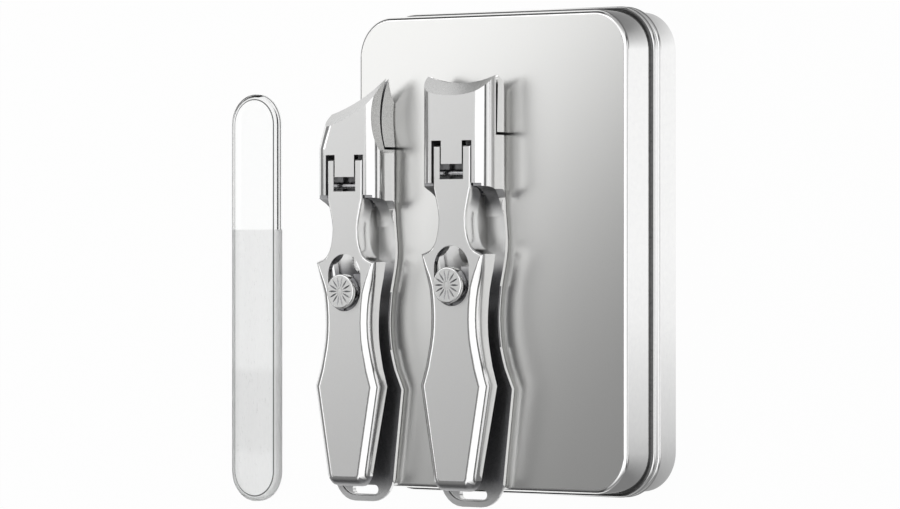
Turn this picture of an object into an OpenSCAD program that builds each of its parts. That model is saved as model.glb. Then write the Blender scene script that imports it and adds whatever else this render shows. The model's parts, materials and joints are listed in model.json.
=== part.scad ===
// Manicure set: a hinged tin case, two nail clippers with squeeze levers and a glass nail file.
// The set is laid out as in use: the tin lies shut, the clippers lie on its lid and the file beside it.
// Millimetres, +Z up, origin in the middle of the tin's underside, clipper jaws towards +Y.

/* [Tin case] */
// Width of the tin across its beads' inner walls
tin_w = 71.5; // [66:0.5:90]
// Length of the tin
tin_l = 100; // [96:1:125]
// Height of the shut tin
tin_h = 17; // [16:0.5:24]
// Corner radius of the walls
tin_corner = 8.5; // [6:0.5:14]
// Sheet thickness
sheet = 0.8; // [0.5:0.1:1.2]
// Height of the lower wall under the beads
base_wall_h = 5; // [4:0.5:7]
// How far the beads stand proud of the walls
bead_out = 1; // [0.6:0.1:1.5]
// Height of one bead
bead_h = 1.6; // [1.2:0.1:2]
// Rounding of the lid's top edge
lid_edge_r = 1; // [0.8:0.1:1.5]
// Gap between the two beads, and round the collar inside the lid
tin_gap = 0.15; // [0.1:0.05:0.3]
// Height of the collar that the lid closes over
collar_h = 2.4; // [1.5:0.1:4]

/* [Tin hinge] */
// Diameter of the hinge pin
hinge_pin_d = 1.1; // [0.8:0.1:1.6]
// Outer diameter of the hinge knuckles
knuckle_d = 2.5; // [2.2:0.1:3.4]
// Length of one knuckle
knuckle_l = 9; // [6:1:14]
// Gap between knuckles, end to end
knuckle_gap = 0.25; // [0.15:0.05:0.5]

/* [Tray] */
// Thickness of the foam tray
tray_t = 5.4; // [5:0.1:6.2]
// Depth of its recesses
recess_d = 4.5; // [4.2:0.1:5.2]
// Space left round each tool in its recess
recess_space = 0.5; // [0.3:0.1:0.8]

/* [Glass file] */
// Length of the file
file_l = 90; // [70:1:100]
// Width of the file
file_w = 13.5; // [11:0.5:16]
// Thickness of the file
file_t = 2.5; // [2:0.1:3]
// Width of the ground bevel along each long edge
file_bevel = 1.5; // [0.8:0.1:2]
// Distance from the tin's middle to the file's middle
file_x = 77.7; // [70:0.1:95]
// Place of the file's middle along the tin
file_y = -10.1; // [-20:0.1:20]

/* [Clipper head] */
// Width of the head and its jaws
head_w = 18; // [17:0.5:20]
// Depth of a clipper, face to back
clipper_d = 8.6; // [8.4:0.1:10]
// Rounding of the head's front corners
head_front_r = 3.4; // [2:0.1:3.4]
// Rounding of the head's back corners
head_back_r = 3; // [2:0.1:3]
// Where the head's side walls end, from the jaw tip
head_l = 22.5; // [22:0.1:23]
// Depth of the cutting edges under the face
edge_d = 3.6; // [3.4:0.1:3.8]
// Gap between the open jaws at the tip
jaw_open = 0.78; // [0.6:0.02:0.9]
// Gap between the shut jaws at the tip
jaw_shut = 0.08; // [0.05:0.01:0.15]
// How far the curved edge of the wide jaws dips
wide_dip = 1.57; // [1:0.05:2]
// How far the slanted head's point reaches past the wide one's tip
slant_reach = 3.2; // [2:0.1:3.5]
// How far the slanted edge drops across the head
slant_drop = 8.3; // [7:0.1:8.6]
// How far the slanted edge is hollowed
slant_dip = 1.1; // [0.5:0.1:1.4]
// Depth of the hollow ground into the slanted head's right side
side_dip = 1.75; // [1:0.05:1.9]
// Taper of the slanted head's left side
side_taper = 18.5; // [12:0.5:20]
// Slope of the wide jaws' ground bevels
bevel_angle = 36; // [30:1:40]
// Slope of the slanted jaws' ground bevels
slant_bevel = 42; // [36:1:44]
// Length of the moving jaw
jaw_l = 11.9; // [11:0.1:12]
// Plate thickness of the jaws
jaw_plate = 1.4; // [1.2:0.1:1.5]

/* [Clipper handle] */
// Sheet thickness of the lever and the back
shell_t = 1.2; // [1:0.1:1.3]
// Rounding between the lever's face and its sides, along the grip
lever_r = 2.2; // [1.6:0.1:2.4]
// The same, along the fork and neck
neck_r = 0.5; // [0.3:0.1:0.8]
// Depth of the lever's sides at the neck
lever_side = 4.2; // [4:0.1:4.3]
// Depth of the lever's sides at the free end
lever_side_end = 2.8; // [2.6:0.1:3]
// Depth of the back tray
back_rim = 1.7; // [1.5:0.1:1.8]
// Rounding of the back's edges
back_r = 1.2; // [0.8:0.1:1.2]
// Half width of the lever's neck
neck_half = 3.6; // [3.4:0.1:3.9]
// Width of the lever's oval slot
slot_w = 9.26; // [9:0.02:9.4]
// Half width of the window in the back
window_half = 3.85; // [3.6:0.05:3.9]
// Length of the key slot at the tail
key_slot_w = 7.4; // [6:0.1:8]

/* [Clipper mechanism] */
// Outer half width of the lever's fork
fork_half = 5; // [4.9:0.05:5.1]
// Half width of the tongue between its prongs
tongue_half = 2.78; // [2.5:0.02:2.9]
// Side play of moving pieces in the head
side_play = 0.35; // [0.3:0.05:0.4]
// Diameter of the three cross pins
pin_d = 1.5; // [1.3:0.05:1.6]
// Running gap round each pin
pin_gap = 0.05; // [0.03:0.01:0.08]
// Lever pin, from the jaw tip
lever_pin_v = 20.4; // [20.2:0.1:20.6]
// Draw pin, from the jaw tip
draw_pin_v = 16.5; // [16.3:0.1:16.7]
// Jaw pin, from the jaw tip
jaw_pin_v = 24.3; // [24.2:0.1:24.4]
// Lever pin and draw pin under the face
lever_pin_d = 2.9; // [2.8:0.1:3]
// Jaw pin under the face
jaw_pin_depth = 6; // [5.9:0.05:6.05]
// Knob diameter
knob_d = 7.65; // [7:0.05:7.8]
// Knob thickness
knob_t = 2.1; // [1.8:0.1:2.4]
// Knob centre, from the jaw tip
knob_v = 43.8; // [43.6:0.1:44]
// Travel of the lock knob towards the head
lock_travel = 3; // [2.6:0.1:3.2]
// Thickness of the lock's catch and of the ledge it holds
hook_t = 0.45; // [0.4:0.05:0.5]

/* [Layout] */
// Middle of the wide clipper across the tin
wide_x = -3.5; // [-6:0.1:10]
// Jaw tip of the wide clipper along the tin
wide_y = 36.9; // [30:0.1:45]
// Middle of the slanted clipper across the tin
slant_x = -32.8; // [-34:0.1:-25]
// Jaw tip of the slanted clipper along the tin
slant_y = 33.7; // [30:0.1:45]
// Size of the slanted clipper against the wide one
slant_size = 0.96; // [0.95:0.005:1]
// Gap left under things that lie on the lid
lie_gap = 0.03; // [0.02:0.01:0.1]

/* [Hidden] */
$fn = 48;
eps = 0.01;

steel = [0.78, 0.78, 0.78];
bright = [0.88, 0.89, 0.9];
dark_steel = [0.45, 0.45, 0.46];
foam = [0.13, 0.13, 0.14];
glass = [0.85, 0.9, 0.9];

// Tin heights
base_bead_z = base_wall_h + 0.4;
seam_z = base_bead_z + bead_h + tin_gap / 2;
lid_bead_z = seam_z + tin_gap / 2;
lid_wall_z = lid_bead_z + bead_h;
hinge_x = -tin_w / 2 - bead_out - knuckle_d / 2;
collar_gap = sheet + tin_gap;
tray_z = sheet + 0.05;
tray_side_gap = 0.3;

// Clipper stations, all as distances v from the jaw tip
head_half = head_w / 2;
wall_half = fork_half + side_play;
frame_floor_v = jaw_l + 0.6;
notch_v = 13.6;
prong_v = 14.6;
tongue_v = 18.5;
crotch_v = 21.7;
window_v = 22.7;
window_end_v = 40.2;
arch_r = 7;
slot_end_v = 48.2;
slot_top_v = 35.5;
jaw_shut_angle = asin((jaw_open - jaw_shut) / jaw_pin_v);
ledge_t = hook_t;
hook_z = -ledge_t - 0.08 - hook_t;
nose_from = 2.2;
nose_to = 4.3;
nose_end = 3.9;
arm_top = 5.2;
taper_from_v = 11.8;
hollow_from_v = -3;
hollow_to_v = 13.6;
arm_t = 1.1;
back_t = shell_t;

// Lever outline: [distance from the jaw tip, half width]
lever_fork = [[prong_v, fork_half], [17.5, fork_half], [20.5, fork_half]];
lever_neck = [[23.4, fork_half - 0.05], [26.3, 4.25], [29.8, neck_half], [33.5, 4.05], [35.6, 5], [36.6, 6.3]];
lever_shoulder = [37.3, 8.4];
lever_grip = [[40.6, 7.85], [44.6, 6.95], [48.9, 6.5], [52.5, 6.5], [56.1, 6.9], [60.8, 7.95]];
lever_widest = [64.8, 9.3];
lever_taper_end = [83.6, 5.9];
lever_end_v = 86.9;

// Back outline, likewise
back_neck = [[20, 5.2], [22.6, 7.5], [25.5, 8.35], [28, 8.45], [32, 8.85], [35, 9], [38, 8.75], [41, 8.15]];
back_grip = [[44, 7.5], [48.9, 7], [52.5, 7], [56.8, 7.5], [61.1, 8.7]];
back_widest = [65.5, 10.7];
back_taper_end = [84, 8.5];
back_end_v = 90.4;

// ---------------------------------------------------------------- shared helpers

// A point on the smooth curve through four neighbours
function blend_at(a, b, c, d, t) =
    0.5 * (2 * b + (c - a) * t + (2 * a - 5 * b + 4 * c - d) * t * t + (3 * b - 3 * c + d - a) * t * t * t);

// A smooth curve through a list of points, with steps points to each span
function smooth(p, steps) = concat(
    [for (i = [0:len(p) - 2], k = [0:steps - 1])
        blend_at(p[max(i - 1, 0)], p[i], p[i + 1], p[min(i + 2, len(p) - 1)], k / steps)],
    [p[len(p) - 1]]
);

// The rounded tail: a quarter of an ellipse from the taper's end to the very end, flat over tip_half
function tail(from, end_v, tip_half, steps) =
    [for (k = [1:steps]) let (a = 90 * k / steps)
        [from[0] + (end_v - from[0]) * sin(a), tip_half + (from[1] - tip_half) * cos(a)]];

function unit(p) = p / norm(p);

// Outward normal of the half outline at point i; the other half mirrors it
function half_normal(p, i) =
    let (
        before = i > 0 ? p[i - 1] : [p[0][0], -p[0][1]],
        after = i < len(p) - 1 ? p[i + 1] : [p[i][0], -p[i][1]],
        n1 = unit([-(p[i] - before)[1], (p[i] - before)[0]]),
        n2 = unit([-(after - p[i])[1], (after - p[i])[0]])
    )
    (n1 + n2) / (1 + n1 * n2);

// The half outline moved inwards by its own distance at each station
function inset(p, d) = [for (i = [0:len(p) - 1]) p[i] - d[i] * half_normal(p, i)];

// One ring of the shell: the half outline at a height for each station, and its mirror image
function ring(p, heights) = concat(
    [for (i = [0:len(p) - 1]) [p[i][1], -p[i][0], heights[i]]],
    [for (i = [len(p) - 1:-1:0]) [-p[i][1], -p[i][0], heights[i]]]
);

// A pressed shell. Its face lies at height face, and up is 1 where the face looks up and -1 where it
// looks down. Each station of the half outline has its own depth of side and rounding of the face's edge.
module pressed_shell(half, sides, rounds, wall, face, up) {
    n = len(half);
    steps = 4;
    inner_rounds = [for (r = rounds) max(r - wall, 0.3)];
    rim = [for (d = sides) face - up * d];
    outer = concat(
        [ring(half, rim)],
        [for (k = [0:steps]) let (a = 90 * k / steps)
            ring(inset(half, rounds * (1 - cos(a))), [for (r = rounds) face - up * r * (1 - sin(a))])]
    );
    inner = concat(
        [ring(inset(half, [for (r = rounds) wall]), rim)],
        [for (k = [0:2]) let (a = 45 * k)
            ring(inset(half, [for (r = inner_rounds) wall + r * (1 - cos(a))]),
                [for (r = inner_rounds) face - up * (wall + r * (1 - sin(a)))])]
    );
    rings = concat([for (k = [len(inner) - 1:-1:0]) inner[k]], outer);
    m = 2 * n;
    last = (len(rings) - 1) * m;
    bands = [for (k = [0:len(rings) - 2], i = [0:m - 1]) let (j = (i + 1) % m)
        [k * m + i, k * m + j, (k + 1) * m + j, (k + 1) * m + i]];
    inner_cap = [for (i = [0:n - 2]) [i, m - 1 - i, m - 2 - i, i + 1]];
    outer_cap = [for (i = [0:n - 2]) [last + i, last + i + 1, last + m - 2 - i, last + m - 1 - i]];
    quads = concat(bands, inner_cap, outer_cap);
    triangles = [for (q = quads, t = [[0, 1, 2], [0, 2, 3]]) [q[t[0]], q[t[1]], q[t[2]]]];
    polyhedron(
        points = [for (r = rings) each r],
        faces = up > 0 ? triangles : [for (t = triangles) [t[0], t[2], t[1]]],
        convexity = 6
    );
}

// A slot with round ends along the clipper, through everything from height z1 to z2
module long_slot(v1, v2, width, z1, z2) {
    r = width / 2;
    for (v = [v1 + r, v2 - r]) translate([0, -v, z1]) cylinder(r = r, h = z2 - z1);
    translate([-r, -(v2 - r), z1]) cube([width, v2 - v1 - width, z2 - z1]);
}

// A block from v1 to v2, from one depth to another, across both sides
module block(half, v1, v2, depth1, depth2) {
    translate([-half, -v2, -depth2]) cube([2 * half, v2 - v1, depth2 - depth1]);
}

// A side outline in [v, depth] points, pushed across the clipper
module side_shape(half, points) {
    rotate([90, 0, 90]) translate([0, 0, -half]) linear_extrude(2 * half)
        polygon([for (p = points) [-p[0], -p[1]]]);
}

// An outline in [x, v] points, pushed from one depth to another
module plan_shape(points, depth1, depth2) {
    translate([0, 0, -depth2]) linear_extrude(depth2 - depth1) polygon([for (p = points) [p[0], -p[1]]]);
}

// A round pin or bore across the clipper
module cross_round(v, depth, d, half) {
    translate([0, -v, -depth]) rotate([0, 90, 0]) cylinder(d = d, h = 2 * half, center = true);
}

// ---------------------------------------------------------------- tin case

module rounded_plate(w, l, r, h) {
    linear_extrude(h) {
        square([w - 2 * r, l], center = true);
        square([w, l - 2 * r], center = true);
        for (x = [-1, 1], y = [-1, 1]) translate([x * (w / 2 - r), y * (l / 2 - r)]) circle(r);
    }
}

// Sweeps a profile round the tin's walls. Its x runs outwards from the wall and its y upwards.
module round_the_tin() {
    straight_w = tin_w - 2 * tin_corner;
    straight_l = tin_l - 2 * tin_corner;
    for (turn = [0, 180]) rotate([0, 0, turn]) {
        translate([tin_w / 2, 0, 0]) rotate([90, 0, 0]) linear_extrude(straight_l, center = true) children();
        rotate([0, 0, 90]) translate([tin_l / 2, 0, 0]) rotate([90, 0, 0])
            linear_extrude(straight_w, center = true) children();
        translate([straight_w / 2, straight_l / 2, 0])
            rotate_extrude(angle = 90) translate([tin_corner, 0]) children();
        translate([-straight_w / 2, straight_l / 2, 0]) rotate([0, 0, 90])
            rotate_extrude(angle = 90) translate([tin_corner, 0]) children();
    }
}

// One rolled bead, standing proud of the wall, from height z up
module bead_profile(z) {
    r = bead_h / 2;
    translate([-sheet, z]) square([sheet + bead_out - r, bead_h]);
    translate([bead_out - r, z + r]) circle(r);
}

module knuckles(first) {
    pitch = knuckle_l + knuckle_gap;
    for (i = [first:2:4]) translate([0, (i - 2.5) * pitch + knuckle_gap / 2, 0]) children();
}

// One knuckle with the leaf that joins it to its bead. side is 1 for the base and -1 for the lid.
module knuckle(side) {
    r = knuckle_d / 2;
    difference() {
        union() {
            rotate([-90, 0, 0]) cylinder(d = knuckle_d, h = knuckle_l);
            leaf_z = side > 0 ? -r : tin_gap / 2;
            translate([0, 0, leaf_z]) cube([r + bead_out / 2, knuckle_l, r - tin_gap / 2]);
        }
        translate([0, -eps, 0]) rotate([-90, 0, 0])
            cylinder(d = hinge_pin_d + 2 * pin_gap, h = knuckle_l + 2 * eps);
    }
}

// Room round the other half's knuckles
module knuckle_room() {
    translate([0, -knuckle_gap / 2, 0]) rotate([-90, 0, 0])
        cylinder(d = knuckle_d + 0.4, h = knuckle_l + knuckle_gap);
}

module case_base() {
    color(bright) union() {
        difference() {
            union() {
                rounded_plate(tin_w, tin_l, tin_corner, base_bead_z);
                round_the_tin() bead_profile(base_bead_z);
            }
            translate([0, 0, sheet])
                rounded_plate(tin_w - 2 * sheet, tin_l - 2 * sheet, tin_corner - sheet, tin_h);
            translate([hinge_x, 0, seam_z]) knuckles(1) knuckle_room();
        }
        round_the_tin() translate([-sheet - collar_gap, base_bead_z]) square([collar_gap + eps, sheet]);
        round_the_tin() translate([-sheet - collar_gap, base_bead_z])
            square([sheet, bead_h + tin_gap + collar_h]);
        translate([hinge_x, 0, seam_z]) knuckles(0) knuckle(1);
    }
}

module case_lid() {
    color(bright) union() {
        difference() {
            union() {
                translate([0, 0, lid_wall_z - eps])
                    rounded_plate(tin_w, tin_l, tin_corner, tin_h - lid_edge_r - lid_wall_z + eps);
                translate([0, 0, tin_h - lid_edge_r]) rounded_plate(
                    tin_w - 2 * lid_edge_r, tin_l - 2 * lid_edge_r, tin_corner - lid_edge_r, lid_edge_r);
                round_the_tin() intersection() {
                    translate([-lid_edge_r, tin_h - lid_edge_r]) circle(lid_edge_r);
                    translate([-lid_edge_r, tin_h - lid_edge_r]) square(lid_edge_r);
                }
                round_the_tin() bead_profile(lid_bead_z);
            }
            rounded_plate(tin_w - 2 * sheet, tin_l - 2 * sheet, tin_corner - sheet, tin_h - sheet);
            translate([hinge_x, 0, seam_z]) knuckles(0) knuckle_room();
        }
        translate([hinge_x, 0, seam_z]) knuckles(1) knuckle(-1);
    }
}

module lid_hinge_pin() {
    length = 5 * (knuckle_l + knuckle_gap) - knuckle_gap;
    color(steel) translate([hinge_x, -length / 2, seam_z]) rotate([-90, 0, 0])
        cylinder(d = hinge_pin_d, h = length);
}

// Recess of one clipper: its own outlines, grown by the space round it
module clipper_recess(size, reach) {
    half = concat(
        [[-reach - recess_space, head_half], [head_l, head_half]],
        [for (p = back_neck) if (p[0] > head_l + 1) p], back_grip, [back_widest, back_taper_end],
        tail(back_taper_end, back_end_v + recess_space, 3, 4)
    );
    grown = [for (p = half) [p[0], p[1] + recess_space]];
    translate([0, (back_end_v - reach) / 2 * size, tray_z + tray_t - recess_d]) linear_extrude(recess_d + 1)
        polygon(concat(
            [for (p = grown) [p[1], -p[0]] * size],
            [for (i = [len(grown) - 1:-1:0]) [-grown[i][1], -grown[i][0]] * size]
        ));
}

module foam_tray() {
    inner_w = tin_w - 2 * (sheet + collar_gap + tray_side_gap);
    inner_l = tin_l - 2 * (sheet + collar_gap + tray_side_gap);
    wide = 2 * (back_widest[1] + recess_space);
    slant = wide * slant_size;
    narrow = file_w + 2 * recess_space;
    web = (inner_w - wide - slant - narrow) / 4;
    color(foam) difference() {
        translate([0, 0, tray_z]) rounded_plate(inner_w, inner_l, tin_corner - 2, tray_t);
        translate([-inner_w / 2 + web + slant / 2, 0, 0]) clipper_recess(slant_size, slant_reach);
        translate([-inner_w / 2 + 2 * web + slant + wide / 2, 0, 0]) clipper_recess(1, 0);
        translate([inner_w / 2 - web - narrow / 2, 0, tray_z + tray_t - recess_d])
            rounded_plate(narrow, file_l + 2 * recess_space, narrow / 2 - 0.5, recess_d + 1);
    }
}

// ---------------------------------------------------------------- glass file

module glass_file() {
    side = file_w - 2 * file_bevel;
    edge = file_t * 0.3;
    color(glass) translate([-file_x, file_y, 0]) intersection() {
        rounded_plate(file_w, file_l, file_w / 2 - 1, file_t);
        rotate([90, 0, 0]) linear_extrude(file_l + 2, center = true) polygon([
            [-side / 2, 0], [side / 2, 0], [file_w / 2, edge], [file_w / 2, file_t - edge],
            [side / 2, file_t], [-side / 2, file_t], [-file_w / 2, file_t - edge], [-file_w / 2, edge]
        ]);
    }
}

// ---------------------------------------------------------------- clippers

// The space beyond a cutting edge. side is 1 for the fixed jaw's bevel and -1 for the moving jaw's.
module beyond_edge(slanted, edge_depth, side) {
    reach = slanted ? slant_reach : 0;
    drop = slanted ? slant_drop : 0;
    slope = slanted ? slant_bevel : bevel_angle;
    dip = (slanted ? slant_dip : wide_dip) * cos(slope);
    chord_half = norm([head_half, drop / 2]);
    r = (chord_half * chord_half + dip * dip) / (2 * dip);
    to_axis = sqrt(r * r - chord_half * chord_half) / cos(slope);
    translate([0, reach - drop / 2, -edge_depth]) rotate([0, 0, atan2(drop, head_w)]) translate([0, to_axis, 0])
        rotate([side * slope, 0, 0]) cylinder(r = r, h = 2.2 * to_axis * sin(slope) + 20, center = true, $fn = 180);
}

// What the slanted head lacks at its sides: a taper on the left and a ground hollow on the right
module beside_slanted_head() {
    half = (hollow_to_v - hollow_from_v) / 2;
    r = (half * half + side_dip * side_dip) / (2 * side_dip);
    translate([-head_half, -taper_from_v, -clipper_d - 1]) rotate([0, 0, -side_taper]) translate([-10, 0, 0])
        cube([10, 30, clipper_d + 2]);
    translate([head_half - side_dip + r, -(hollow_from_v + hollow_to_v) / 2, -clipper_d - 1])
        cylinder(r = r, h = clipper_d + 2, $fn = 180);
}

// Distance of the cutting edge's chord from the jaw tip, at x across the head
function edge_v(slanted, x) = slanted ? slant_drop * (head_half - x) / head_w - slant_reach : 0;

// Room behind a cutting edge, to one distance from the jaw tip, that leaves back metal behind the edge
module behind_edge(slanted, half, back, to_v, depth1, depth2) {
    plan_shape([[-half, edge_v(slanted, -half) + back], [half, edge_v(slanted, half) + back], [half, to_v],
        [-half, to_v]], depth1, depth2);
}

// The head's rounded section from the tip to a distance v. Its back lies a hair inside the back tray's.
module head_bar(v, slanted) {
    head_d = clipper_d - 0.02;
    reach = slanted ? slant_reach + 1 : 0;
    translate([0, reach, 0]) rotate([90, 0, 0]) linear_extrude(v + reach) {
        inner_d = head_d - head_front_r - head_back_r;
        translate([-head_half, -head_front_r - inner_d]) square([head_w, inner_d]);
        translate([-head_half + head_front_r, -head_front_r]) square([head_w - 2 * head_front_r, head_front_r]);
        translate([-head_half + head_back_r, -head_d]) square([head_w - 2 * head_back_r, head_back_r]);
        for (x = [-1, 1]) {
            translate([x * (head_half - head_front_r), -head_front_r]) circle(head_front_r);
            translate([x * (head_half - head_back_r), -head_d + head_back_r]) circle(head_back_r);
        }
    }
}

// Height of the moving jaw's top, so that shut jaws leave an even gap
function jaw_top(v) = edge_d + jaw_shut + (jaw_open - jaw_shut) * (1 - v / jaw_pin_v);

module frame(slanted) {
    half = concat(
        smooth(back_neck, 2), smooth(back_grip, 2), [back_widest],
        [for (k = [1:3]) back_widest + (back_taper_end - back_widest) * k / 4], [back_taper_end],
        tail(back_taper_end, back_end_v, 2.5, 7)
    );
    color(steel) difference() {
        union() {
            difference() {
                head_bar(head_l + arch_r, slanted);
                if (slanted) beside_slanted_head();
                // the arch that the lever's neck comes out of
                side_shape(head_w, concat(
                    [[head_l + 30, -1], [head_l, -1], [head_l, 0.6]],
                    [for (k = [0:8]) let (a = 90 * k / 8)
                        [head_l + 0.6 + arch_r * (1 - cos(a)), 0.6 + (clipper_d - back_rim - 0.6) * sin(a)]],
                    [[head_l + 30, clipper_d - back_rim]]
                ));
                // the waist below the head
                for (x = [-1, 1]) translate([x * (head_half + 6.2), -(head_l + 4.5), -clipper_d - 1])
                    cylinder(r = 7, h = clipper_d + 2, $fn = 72);
            }
            pressed_shell(half, [for (p = half) back_rim], [for (p = half) back_r], back_t, -clipper_d, -1);
        }
        // room for the lever's fork, behind and beside the tongue
        difference() {
            block(wall_half, notch_v, head_l + 20, -1, clipper_d - 2);
            block(tongue_half, notch_v - 1, tongue_v, -2, jaw_plate);
        }
        // nail space behind the fixed jaw, and room for the moving jaw
        behind_edge(slanted, slanted ? 5.4 : head_half - 1.6, slanted ? 5 : 5.5, notch_v + eps, jaw_plate, edge_d + 1);
        block(wall_half, frame_floor_v - 1, notch_v + eps, jaw_plate, clipper_d - 2);
        block(head_w, -slant_reach - 2, frame_floor_v, edge_d, clipper_d + 1);
        beyond_edge(slanted, edge_d, 1);
        long_slot(window_v, window_end_v, 2 * window_half, -clipper_d - 1, 1);
        block(window_half, window_v, window_v + window_half, -1, clipper_d + 1);
        // slot for the lock stud, and the wider groove for its foot
        long_slot(knob_v - lock_travel - 3, knob_v + 1.4, 2.6, -clipper_d - 1, 0);
        long_slot(knob_v - lock_travel - 4, knob_v + 2.6, 4.9, -clipper_d - 1, -clipper_d + 0.6);
        // key slot at the tail
        for (x = [-1, 1]) translate([x * (key_slot_w / 2 - 1), -back_end_v + 2.6, -clipper_d - 1])
            cylinder(r = 1, h = clipper_d);
        translate([-key_slot_w / 2 + 1, -back_end_v + 1.6, -clipper_d - 1])
            cube([key_slot_w - 2, 2, clipper_d]);
        cross_round(lever_pin_v, lever_pin_d, pin_d + 2 * pin_gap, 7);
        cross_round(jaw_pin_v, jaw_pin_depth, pin_d + 2 * pin_gap, 6.5);
    }
}

module jaw(slanted) {
    lug_half = 1.4;
    metal = slanted ? 5.2 : 4.5;
    color(bright) difference() {
        union() {
            difference() {
                intersection() {
                    head_bar(jaw_l, slanted);
                    side_shape(head_w, [[-5, jaw_top(-5)], [jaw_l, jaw_top(jaw_l)], [jaw_l, 20], [-5, 20]]);
                }
                if (slanted) beside_slanted_head();
                behind_edge(slanted, slanted ? 5.4 : head_half - 1.6, metal, jaw_l - 1.6, -1, clipper_d - jaw_plate);
                behind_edge(slanted, wall_half - side_play, metal, jaw_l + 1, -1, arm_top);
            }
            // arm back to the jaw pin, and its lug up to the draw pin
            side_shape(wall_half - side_play, [
                [jaw_l - 2.4, arm_top], [notch_v + 0.5, arm_top], [notch_v + 0.5, arm_top + arm_t],
                [jaw_l, arm_top + arm_t], [jaw_l, clipper_d - jaw_plate], [jaw_l - 2.4, clipper_d - jaw_plate]
            ]);
            side_shape(window_half - side_play, [
                [notch_v, arm_top], [jaw_pin_v, arm_top], [jaw_pin_v, arm_top + arm_t], [notch_v, arm_top + arm_t]
            ]);
            cross_round(jaw_pin_v, jaw_pin_depth, 2.5, window_half - side_play);
            side_shape(lug_half, [
                [draw_pin_v - 1.3, 1.85], [draw_pin_v + 1.3, 1.85], [draw_pin_v + 1.3, arm_top + eps],
                [draw_pin_v - 1.3, arm_top + eps]
            ]);
        }
        beyond_edge(slanted, jaw_top(0), -1);
        cross_round(jaw_pin_v, jaw_pin_depth, pin_d + 2 * pin_gap, head_w);
        // the draw pin's hole is a short slot, for the pin's small slip along the jaw
        for (slip = [-0.2, 0.2]) cross_round(draw_pin_v + slip, lever_pin_d, pin_d + 0.16, head_w);
        translate([-head_w / 2, -draw_pin_v - 0.2, -lever_pin_d - pin_d / 2 - 0.08])
            cube([head_w, 0.4, pin_d + 0.16]);
    }
}

// Leaf spring that presses the jaws open: it sits under the face plate and bears on the jaw's arm
module jaw_spring(slanted) {
    leaf_half = 2.2;
    from_v = slanted ? 7.4 : 6;
    leaf_t = 0.35;
    top = jaw_plate + 0.02;
    color(bright) side_shape(leaf_half, [
        [from_v, top], [12.6, top], [13.1, top + 0.9], [11.2, arm_top - 0.05], [10, arm_top - 0.05],
        [10, arm_top - 0.05 - leaf_t], [11, arm_top - 0.05 - leaf_t], [12.7, top + 0.95], [12.4, top + leaf_t],
        [from_v, top + leaf_t]
    ]);
}

module lever() {
    half = concat(
        lever_fork, smooth(lever_neck, 2), [lever_shoulder], smooth(lever_grip, 2), [lever_widest],
        [for (k = [1:3]) lever_widest + (lever_taper_end - lever_widest) * k / 4], [lever_taper_end],
        tail(lever_taper_end, lever_end_v, 3.2, 5)
    );
    taper_v = 50;
    sides = [for (p = half)
        lever_side + (lever_side_end - lever_side) * max(0, p[0] - taper_v) / (lever_end_v - taper_v)];
    rounds = [for (p = half) p[0] < 36 ? neck_r : min(lever_r, 0.9 + 0.2 * (p[0] - lever_shoulder[0]))];
    prong_inner = tongue_half + side_play;
    color(steel) difference() {
        pressed_shell(half, sides, rounds, shell_t, 0, 1);
        block(prong_inner, prong_v - 1, crotch_v, -1, clipper_d);
        cross_round(lever_pin_v, lever_pin_d, pin_d + 2 * pin_gap, head_w);
        cross_round(draw_pin_v, lever_pin_d, pin_d + 2 * pin_gap, head_w);
        long_slot(slot_top_v, slot_end_v, slot_w, -shell_t - 1, 1);
        // pocket that leaves a thin ledge at the slot's shoulder, for the lock's nose
        translate([nose_from - 0.5, -knob_v + nose_end - 1.2, -shell_t - 1])
            cube([nose_to - nose_from + 1.4, lock_travel + 1.6, shell_t + 1 - ledge_t]);
    }
}

module lever_pin() {
    color(bright) cross_round(lever_pin_v, lever_pin_d, pin_d, 6.95);
}

module draw_pin() {
    color(bright) cross_round(draw_pin_v, lever_pin_d, pin_d, fork_half);
}

module jaw_pin() {
    color(bright) cross_round(jaw_pin_v, jaw_pin_depth, pin_d, 6.45);
}

// The lock stud: a foot in the back's groove, a shank through its slot and a collar on top
module lock_stud() {
    back = -clipper_d;
    color(bright) translate([0, -knob_v, 0]) {
        translate([0, 0, back + 0.05]) cylinder(d = 4.6, h = 0.5);
        translate([0, 0, back + 0.5]) cylinder(d = 2.4, h = clipper_d - 0.5 + 0.6);
        translate([0, 0, back + back_t + 0.05]) cylinder(d = 4.6, h = 0.6);
    }
}

// The catch on the stud. With the lever squeezed its nose slides over the slot's thin shoulder and holds it.
module lock_hook() {
    color(dark_steel) translate([0, -knob_v, hook_z]) difference() {
        union() {
            cylinder(d = 6.2, h = hook_t);
            translate([nose_from, 1, 0]) cube([nose_to - nose_from, nose_end - 1, hook_t]);
        }
        translate([0, 0, -1]) cylinder(d = 2.4 + 2 * pin_gap, h = 3);
    }
}

// The round knob with its ring of cut petals
module lock_knob() {
    petals = 14;
    edge = 0.3;
    color(bright) translate([0, -knob_v, hook_z + hook_t + 0.02]) difference() {
        rotate_extrude() {
            square([knob_d / 2 - edge, knob_t]);
            translate([0, edge]) square([knob_d / 2, knob_t - 2 * edge]);
            for (z = [edge, knob_t - edge]) translate([knob_d / 2 - edge, z]) circle(edge, $fn = 24);
        }
        translate([0, 0, -1]) cylinder(d = 2.4 + 2 * pin_gap, h = 1 + 1.3);
        for (i = [0:petals - 1]) rotate([0, 0, (i + 0.5) * 360 / petals])
            translate([knob_d * 0.2, -0.12, knob_t - 0.2]) cube([knob_d * 0.17, 0.24, 1]);
    }
}

// ---------------------------------------------------------------- layout

module lay_wide() {
    translate([wide_x, wide_y, tin_h + lie_gap + clipper_d]) children();
}

module lay_slant() {
    translate([slant_x, slant_y, tin_h + lie_gap + clipper_d * slant_size]) scale(slant_size) children();
}

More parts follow.
